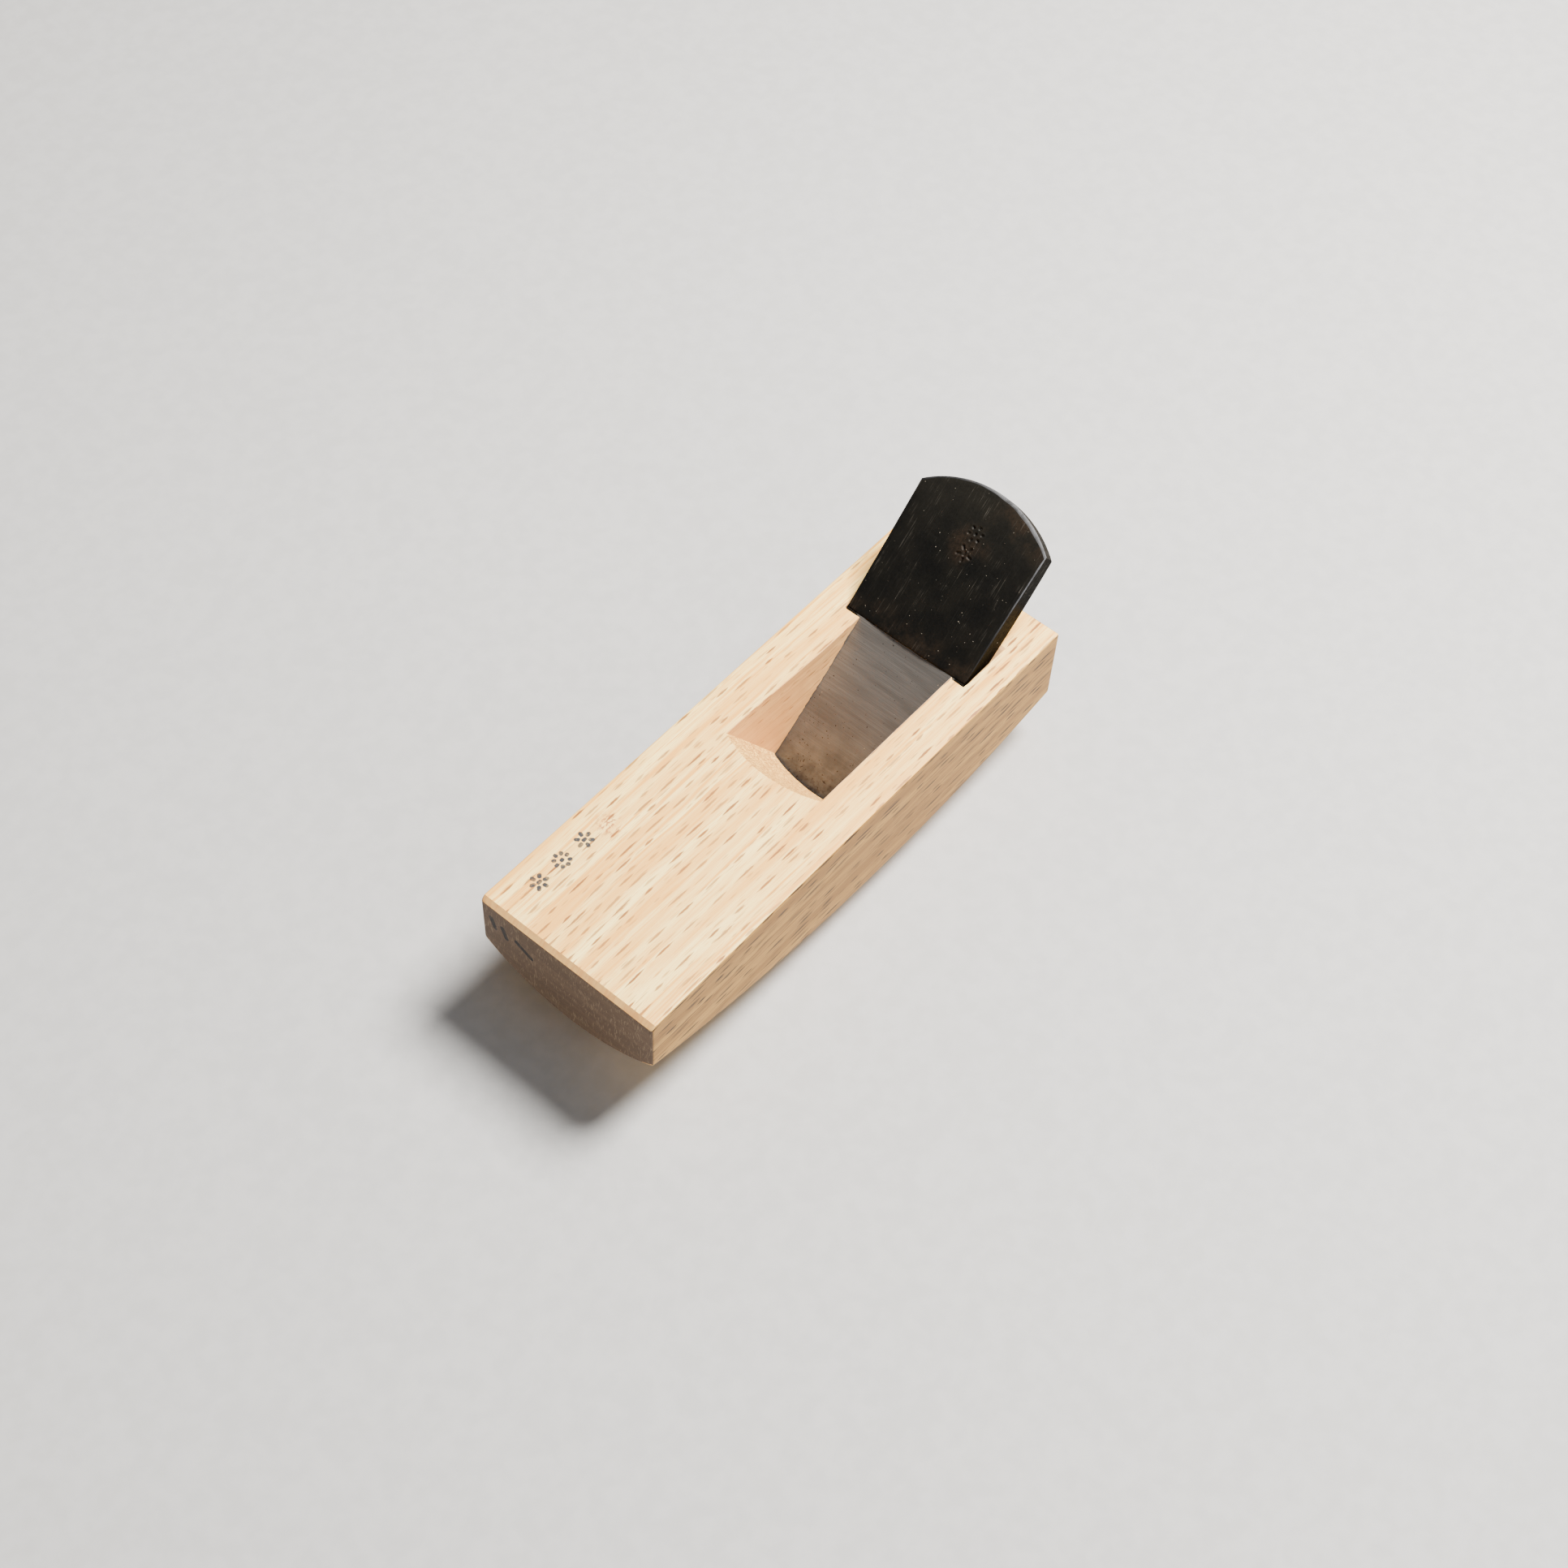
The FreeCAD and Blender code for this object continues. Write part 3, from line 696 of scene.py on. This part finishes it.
def struck(s, y):
    """Depth of the punched device, with the burr its strokes raise."""
    if not (54.0 < s < 62.6 and -1.8 < y < 2.4):
        return 0.0
    away = dent((s, y), PUNCHED)
    worn = 0.75 + 0.45 * wander(s, y, 0, 1.4, 71)
    burr = 0.035 * math.exp(-((away - 0.42) / 0.13) ** 2)
    return worn * 0.26 * (1 - smooth(away, 0.06, 0.34)) - burr


def forged(s, y):
    """Small unevenness of the forged face."""
    broad = 0.035 * wander(s, y, 2, 6.0, 51)
    fine = 0.012 * wander(s, y, 7, 0.9, 53)
    pits = 0.05 * smooth(wander(s, y, 5, 1.3, 57), 0.42, 0.75)
    return broad + fine + pits


def iron_place(s, y, t):
    """A point of the iron, from its own frame to the part's."""
    return EDGE_POINT + UP_FACE * s + ACROSS * y + INWARD * t


def plate(name, front, back, edges, kinds):
    """A closed plate from two grids of the same size and the loops that join their borders.

    front and back hold rows of (s, y, t) points. Each of edges is a function of a border point's
    row and column that gives the loop's point there. kinds(layer, i, j) gives the material number:
    layer 0 is the front, 1 and up are the bands between loops, and 9 is the back.
    """
    rows, columns = len(front), len(front[0])
    points = [point for row in front for point in row] + [point for row in back for point in row]
    half = rows * columns
    loop = [(0, j) for j in range(columns)] + [(i, columns - 1) for i in range(1, rows)]
    loop += [(rows - 1, j) for j in range(columns - 2, -1, -1)]
    loop += [(i, 0) for i in range(rows - 2, 0, -1)]
    faces, materials = [], []
    for i in range(rows - 1):
        for j in range(columns - 1):
            a = i * columns + j
            quad = (a, a + 1, a + columns + 1, a + columns)
            faces.append(quad)
            materials.append(kinds(0, i, j))
            faces.append(tuple(half + corner for corner in reversed(quad)))
            materials.append(kinds(9, i, j))
    before = [i * columns + j for i, j in loop]
    for number in range(len(edges) + 1):
        if number < len(edges):
            first = len(points)
            points += [edges[number](i, j) for i, j in loop]
            after = [first + k for k in range(len(loop))]
        else:
            after = [half + i * columns + j for i, j in loop]
        for k in range(len(loop)):
            m = (k + 1) % len(loop)
            faces.append((before[k], after[k], after[m], before[m]))
            materials.append(kinds(number + 1, *loop[k]))
        before = after
    mesh = bpy.data.meshes.new(name)
    mesh.from_pydata([iron_place(*point) * MM for point in points], [], faces)
    mesh.polygons.foreach_set("material_index", materials)
    place = mesh.attributes.new("place", "FLOAT_VECTOR", "POINT")
    place.data.foreach_set("vector", [number for point in points for number in point])
    clean(mesh, 0.0005)
    return mesh


def make_iron():
    """The soft iron: black from the forge, filed bright round the head."""
    columns = sorted(set([round(v, 4) for v in spread(-1, 1, 36)] + [1.0]
                         + [round(v, 4) for v in spread(-0.14, 0.19, 32)]))
    hidden = spread(0.0, 1.0, 10)
    seen = sorted(set([round(v, 3) for v in spread(STEEL_LENGTH, HEAD_TIP, 40)] + [HEAD_TIP]
                      + [round(v, 3) for v in spread(54.2, 62.6, 64)]))

    def along(a, y):
        if a <= ARC_FROM:
            return a
        return ARC_FROM + (head_arc(y) - ARC_FROM) * (a - ARC_FROM) / (HEAD_TIP - ARC_FROM)

    def side_bevel(v, s):
        """Width of the filed bevel beside the face: wide on +Y, a bare touch on -Y."""
        fade = smooth(s, STEEL_LENGTH + 0.2, STEEL_LENGTH + 6)
        uneven = 1 + 0.35 * wander(s, v, 0, 3.0, 61)
        return (0.05 + fade * (0.17 if v > 0 else 0.07)) * uneven

    def head_bevel(y):
        uneven = 1 + 0.22 * wander(0, y, 0, 2.4, 63)
        corner = 1 - 0.55 * smooth(y, 9.5, 13)
        return blend(0.26, 0.62, smooth(y, -9, 5)) * corner * uneven

    def bevel_depth(i, v, s, y):
        """How far down the rim the filed bevel comes: steep at the sides, shallow at the head."""
        side = 0.8 * side_bevel(v, s)
        if i < last:
            return side
        head = 0.32 * head_bevel(y)
        return 0.5 * (side + head) if abs(v) == 1.0 else head

    front, back = [], []
    for a in hidden:
        front_row, back_row = [], []
        for v in columns:
            start = camber(v * EDGE_HALF) + STEEL_THICKNESS / math.tan(BEVEL_ANGLE)
            s = blend(start, ledge(v * EDGE_HALF), a)
            y = v * half_width(s, STEEL_THICKNESS)
            front_row.append((s, y, STEEL_THICKNESS))
            deep = min((s - camber(v * EDGE_HALF)) * math.tan(BEVEL_ANGLE), back_depth(s))
            deep = max(deep, STEEL_THICKNESS)
            back_row.append((s, v * half_width(s, deep), deep))
        front.append(front_row)
        back.append(back_row)
    # the scale's step down to the ground face, as (how far up the face, how deep)
    steps = ((0.0, STEEL_THICKNESS), (0.0, 0.9), (0.0, 0.36))
    steps += ((0.03, 0.16), (0.12, 0.05), (0.3, 0.0))
    for ahead, t in steps:
        front_row, back_row = [], []
        for v in columns:
            s = ledge(v * EDGE_HALF) + ahead
            bevel = side_bevel(v, s)
            y = v * (half_width(s, max(t, 0.0)) - bevel * (1 if t < 0.3 else 0.1))
            front_row.append((s, y, t + 0.03 * wander(y, s, 1, 0.8, 43) * (1 if t < 0.3 else 0)))
            deep = back_depth(s)
            back_row.append((s, v * (half_width(s, deep) - 0.2), deep - 0.02))
        front.append(front_row)
        back.append(back_row)
    shown = [a for a in seen if a > STEEL_LENGTH + 0.5]
    for a in shown:
        front_row, back_row = [], []
        for v in columns:
            y = v * half_width(min(a, SHOULDER))
            s = along(a, y)
            pull = smooth(a, ARC_FROM, HEAD_TIP)
            slope = y / HEAD_RADIUS
            y_in = v * (half_width(min(s, SHOULDER)) - side_bevel(v, s))
            s_in = s - head_bevel(y) * pull / math.sqrt(1 - slope * slope)
            front_row.append((s_in, y_in, forged(s_in, y_in) + struck(s_in, y_in)))
            deep = back_depth(s)
            y_back = v * (half_width(min(s, SHOULDER), deep) - BACK_EASED)
            s_back = s - (BACK_EASED + SIDE_DRAFT * deep) * pull
            back_row.append((s_back, y_back, deep - 0.015 + 0.5 * forged(s_back, y_back + 40)))
        front.append(front_row)
        back.append(back_row)
    first_seen = len(hidden) + len(steps)
    last = len(front) - 1
    seen_at = dict(enumerate(shown, first_seen))

    def rim(share):
        """A loop of the rim, share of the way from face to back."""
        def at(i, j):
            v = columns[j]
            s, y, t = front[i][j]
            deep = back[i][j][2]
            if i < first_seen:
                start = t if i < len(hidden) else max(t, 0.0)
                if i == 0 or deep - start <= 1e-6:
                    level = start
                elif share == 0.0:
                    level = start + min(0.05, deep - start)
                else:
                    level = blend(start, deep, share)
                return (s, v * half_width(s, level), level)
            pull = smooth(seen_at[i], ARC_FROM, HEAD_TIP)
            a_s = back[i][j][0] + (BACK_EASED + SIDE_DRAFT * deep) * pull
            level = blend(bevel_depth(i, v, a_s, y), deep - 0.18, share)
            y_out = v * half_width(min(a_s, SHOULDER), level)
            return (a_s - SIDE_DRAFT * level * pull, y_out, level)
        return at

    def soft_rim(i, j):
        """Halfway down the filed bevel, bulged a little."""
        s0, y0, t0 = front[i][j]
        s1, y1, t1 = rim(0.0)(i, j)
        return (blend(s0, s1, 0.55), blend(y0, y1, 0.55), blend(t0, t1, 0.42))

    edges = [soft_rim] + [rim(share) for share in (0.0, 0.04, 0.35, 0.7, 1.0)]

    def kinds(layer, i, j):
        if layer == 9 and i < len(hidden):
            s, y, _ = back[min(i + 1, len(back) - 1)][j]
            if (s - camber(y)) * math.tan(BEVEL_ANGLE) < back_depth(s) + 0.02:
                return GROUND
        if layer in (1, 2) and i >= first_seen:
            return FILED
        return SCALE if layer == 0 else FLANK

    mesh = plate("iron", front, back, edges, kinds)
    piece = new_object("iron_visual", mesh)
    for maker in METALS:
        mesh.materials.append(maker())
    shade(mesh, 38)
    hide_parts("blade_iron")
    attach(piece, "blade")
    return piece


def hollow_depth(s, y):
    """The ground hollow: dished across, fading in from the rim behind the edge."""
    across = 1 - (y / HOLLOW_HALF) ** 2
    if across <= 0:
        return 0.0
    return 0.36 * across * smooth(s, HOLLOW_START - 0.3, HOLLOW_START + 2.5)


def make_steel():
    """The thin hard steel forge-welded under the face, ground hollow and honed at the edge."""
    columns = spread(-1, 1, 64) + [1.0]
    rows = [0.0, 0.004, 0.01, 0.02, 0.035, 0.05] + spread(0.07, 1.0, 66) + [1.0]
    front, back = [], []
    for a in rows:
        front_row, back_row = [], []
        for v in columns:
            start = camber(v * EDGE_HALF)
            s = blend(start, ledge(v * EDGE_HALF), a)
            y = v * half_width(s)
            worn = 0.006 * wander(s, y, 3, 1.0, 81) * smooth(s, start + 0.4, start + 3)
            front_row.append((s, y, hollow_depth(s, y) + worn))
            deep = min((s - start) * math.tan(BEVEL_ANGLE), STEEL_THICKNESS)
            back_row.append((s, v * half_width(s, deep), max(deep, 0.0)))
        front.append(front_row)
        back.append(back_row)
    for row in (front, back):
        row[0] = [(s, y, 0.0) for s, y, _ in row[0]]

    def kinds(layer, i, j):
        if layer == 9:
            return GROUND
        s, y, _ = front[i][j]
        return SCALE if s > 36.8 and abs(y) > 10.4 + 0.3 * wander(s, y, 0, 0.8, 91) else STEEL

    mesh = plate("steel", front, back, [], kinds)
    piece = new_object("steel_visual", mesh)
    for maker in METALS:
        mesh.materials.append(maker())
    shade(mesh, 38)
    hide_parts("blade_steel")
    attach(piece, "blade")
    return piece


# ---------------------------------------------------------------- metal materials
def once(maker):
    """Make a material the first time it is asked for, and give the same one after that."""
    made = {}

    def give():
        if "it" not in made:
            made["it"] = maker()
        return made["it"]
    return give


def scale(name, shine, rusty):
    """Black forge scale with rust about the head and the punched device.

    shine is how strongly it reflects, rusty how much of the rust shows.
    """
    s = Shader(name, "place")
    blot = s.noise(s.place, (4.5, 4.5, 4.5), 4, 0.6, seed=1.9)
    fine = s.noise(s.place, (0.5, 0.5, 0.5), 4, 0.65, seed=6.6)
    grit = s.noise(s.place, (0.22, 0.22, 0.22), 2, seed=2.7)
    specks = s.noise(s.place, (0.35, 0.35, 0.35), 1, seed=12.4)
    slanted = s.combine(s.math("ADD", s.x, s.math("MULTIPLY", s.y, 0.3)), s.y)
    scratch = s.noise(slanted, (5, 0.14, 1), 2, seed=4.5)
    head = s.between(s.x, 59.0, 67.5)
    right = s.between(s.y, -2.0, 8.0)
    far = s.vector("DISTANCE", s.place, (58.4, 0.4, 0.0))
    near_mark = s.between(far, 5.2, 2.0)
    lower = s.between(s.x, 44.0, 39.5)
    on_head = s.math("MULTIPLY", head, s.math("MULTIPLY", right, 0.8))
    rust = s.math("MAXIMUM", on_head, s.math("MULTIPLY", near_mark, 0.55))
    rust = s.math("MAXIMUM", rust, s.math("MULTIPLY", lower, 0.35))
    rust = s.math("MULTIPLY", rust, s.between(blot, 0.4, 0.62), clamp=True)
    rust = s.math("MULTIPLY", rust, s.between(fine, 0.35, 0.6, 0.35, 1.0))
    colour = s.mix(s.between(blot, 0.35, 0.68), linear(10, 10, 9), linear(17, 16, 13))
    colour = s.mix(s.between(fine, 0.5, 0.75, 0.0, 0.5), colour, linear(4, 4, 4))
    handled = s.between(s.x, 54.0, 66.0, 0.0, 0.4)
    worn = s.math("MULTIPLY", handled, s.between(blot, 0.2, 0.5, 0.5, 1.0))
    colour = s.mix(worn, colour, linear(34, 32, 27))
    colour = s.mix(s.math("MULTIPLY", rust, rusty), colour, linear(46, 34, 24))
    patchy = s.between(blot, 0.46, 0.62, 0.05, 0.45)
    scuffed = s.math("MULTIPLY", s.between(scratch, 0.60, 0.76), patchy)
    colour = s.mix(scuffed, colour, linear(88, 84, 78))
    colour = s.mix(s.between(specks, 0.78, 0.81, 0.0, 0.7), colour, linear(150, 142, 130))
    rough = s.between(fine, 0.3, 0.7, 0.42, 0.60)
    normal = s.bump([(fine, 0.02), (grit, 0.008), (blot, 0.04)])
    looks = {"Metallic": 0.0, "Specular_IOR_Level": shine, "Roughness": rough}
    return s.finish(Base_Color=colour, Normal=normal, **looks)


@once
def scale_material():
    """The scale on the face."""
    return scale("forge_scale", 0.11, 0.8)


@once
def flank_material():
    """The duller scale on the sides and back."""
    return scale("forge_flank", 0.004, 0.3)


@once
def steel_material():
    """Hollow-ground steel: satin, with lines across it, darker and duller toward the mouth."""
    s = Shader("ground_face", "place")
    lines = s.noise(s.place, (0.10, 9.0, 2.0), 3, 0.6, seed=3.6)
    broad = s.noise(s.place, (1.3, 14.0, 4.0), 2, seed=8.2)
    cloud = s.noise(s.place, (5.0, 5.0, 5.0), 4, 0.6, seed=5.7)
    stain = s.noise(s.place, (1.1, 1.1, 1.1), 4, 0.65, seed=2.1)
    pits = s.noise(s.place, (0.45, 0.45, 0.45), 2, seed=9.9)
    specks = s.noise(s.combine(s.x, s.y), (0.55, 0.3, 1), 1, seed=15.3)
    to_mouth = s.between(s.x, 30.0, 6.0)
    grey = s.mix(s.between(lines, 0.35, 0.65), linear(115, 112, 108), linear(131, 128, 124))
    grey = s.mix(s.between(broad, 0.4, 0.65, 0.0, 0.45), grey, linear(100, 97, 93))
    brown = s.mix(s.between(cloud, 0.35, 0.65), linear(76, 76, 76), linear(55, 54, 54))
    amount = s.math("MULTIPLY", to_mouth, s.between(cloud, 0.2, 0.6, 0.55, 1.0))
    colour = s.mix(amount, grey, brown)
    low = s.between(s.math("SUBTRACT", s.x, s.math("MULTIPLY", s.y, 0.25)), 15.0, 4.0)
    dirt = s.math("MULTIPLY", low, s.between(stain, 0.49, 0.57))
    colour = s.mix(s.math("MULTIPLY", dirt, 0.85), colour, linear(40, 33, 28))
    pitted = s.math("ADD", pits, s.math("MULTIPLY", to_mouth, 0.06))
    colour = s.mix(s.between(pitted, 0.71, 0.75, 0.0, 0.85), colour, linear(42, 34, 28))
    colour = s.mix(s.between(specks, 0.81, 0.83, 0.0, 0.9), colour, linear(226, 210, 180))
    rough = s.math("ADD", s.between(lines, 0.3, 0.7, 0.38, 0.45), s.math("MULTIPLY", amount, 0.12))
    normal = s.bump([(lines, 0.0025), (broad, 0.008), (pits, -0.015)])
    return s.finish(Base_Color=colour, Metallic=0.75, Roughness=rough, Normal=normal)


@once
def filed_material():
    """The filed rim: bright where touched last and with painted highlight toward +Y and the head,
    grey and brown elsewhere.
    """
    s = Shader("filed_rim", "place")
    lines = s.noise(s.place, (0.16, 0.16, 1.2), 3, seed=4.8)
    worn = s.noise(s.place, (2.4, 2.4, 2.4), 4, 0.6, seed=7.3)
    # painted highlight: the rim's colour is lightened toward +Y and toward the head, where light
    # glints off it
    highlight_toward_plus_y = s.between(s.y, -13.0, 6.0, 0.35, 1.0)
    bright = s.math("MULTIPLY", highlight_toward_plus_y, s.between(worn, 0.3, 0.55, 0.45, 1.0))
    bright = s.math("MULTIPLY", bright, s.between(s.x, 45.0, 63.0, 0.08, 1.0))
    colour = s.mix(bright, linear(38, 36, 35), linear(136, 136, 138))
    colour = s.mix(s.between(worn, 0.6, 0.75, 0.0, 0.5), colour, linear(112, 88, 70))
    normal = s.bump([(lines, 0.012)])
    return s.finish(Base_Color=colour, Metallic=0.95, Roughness=0.42, Normal=normal)


@once
def ground_bevel_material():
    """The cutting bevel, honed flat on stones."""
    s = Shader("ground_bevel", "place")
    lines = s.noise(s.place, (7.0, 0.12, 3.0), 3, seed=5.1)
    cloud = s.noise(s.place, (3, 3, 3), 3, seed=3.4)
    colour = s.mix(s.between(lines, 0.35, 0.65), linear(164, 163, 161), linear(192, 190, 188))
    colour = s.mix(s.between(cloud, 0.45, 0.7, 0.0, 0.4), colour, linear(132, 122, 112))
    return s.finish(Base_Color=colour, Metallic=0.9, Roughness=0.3, Normal=s.bump([(lines, 0.003)]))


METALS = (scale_material, steel_material, filed_material, ground_bevel_material, flank_material)


# ---------------------------------------------------------------- stage: floor, light and camera
def make_stage():
    """The plain pale floor."""
    half = 900
    corners = [(-half, -half, 0), (half, -half, 0), (half, half, 0), (-half, half, 0)]
    floor = mesh_from("floor", corners, [(0, 1, 2, 3)])
    piece = new_object("floor", floor)
    s = Shader("floor")
    grain = s.noise(s.place, (3, 3, 3), 3, seed=1.0)
    colour = s.mix(s.between(grain, 0.3, 0.7), linear(170, 169, 168), linear(176, 175, 174))
    floor.materials.append(s.finish(Base_Color=colour, Roughness=0.9))


def area_light(name, place, aim, size, power, colour=(1, 1, 1)):
    light = bpy.data.lights.new(name, "AREA")
    light.shape = "DISK"
    light.size = size
    light.energy = power
    light.color = colour
    lamp = new_object(name, light)
    lamp.location = place
    lamp.rotation_euler = (Vector(aim) - Vector(place)).to_track_quat("-Z", "Y").to_euler()


def make_lights():
    """A warm key above the heel, a weak fill on the +Y side and a dim grey world."""
    aim = (0.01, 0, 0.01)
    area_light("key", (-0.32, 0.14, 0.64), aim, 0.30, 27.0, (1.0, 0.97, 0.92))
    area_light("fill", (0.10, 0.60, 0.42), aim, 0.45, 1.6, (0.95, 0.97, 1.0))
    world = bpy.data.worlds.new("studio")
    world.use_nodes = True
    world.node_tree.nodes["Background"].inputs["Color"].default_value = (0.8, 0.82, 0.86, 1)
    world.node_tree.nodes["Background"].inputs["Strength"].default_value = 0.22
    bpy.context.scene.world = world


def make_camera():
    """The camera of the main render."""
    camera = bpy.data.cameras.new("camera")
    camera.lens = 59.74
    camera.sensor_width = 36
    camera.clip_start = 0.01
    right = Vector((-0.64642, 0.76217, 0.03520))
    up = Vector((-0.60806, -0.54248, 0.57964))
    back = Vector((0.46088, 0.35328, 0.81411))
    eye = new_object("camera", camera)
    turn = Matrix((right, up, back)).transposed().to_4x4()
    eye.matrix_world = Matrix.Translation(Vector((206.73, 151.91, 367.84)) * MM) @ turn
    bpy.context.scene.camera = eye


make_block()
make_iron()
make_steel()
make_stage()
make_lights()
make_camera()
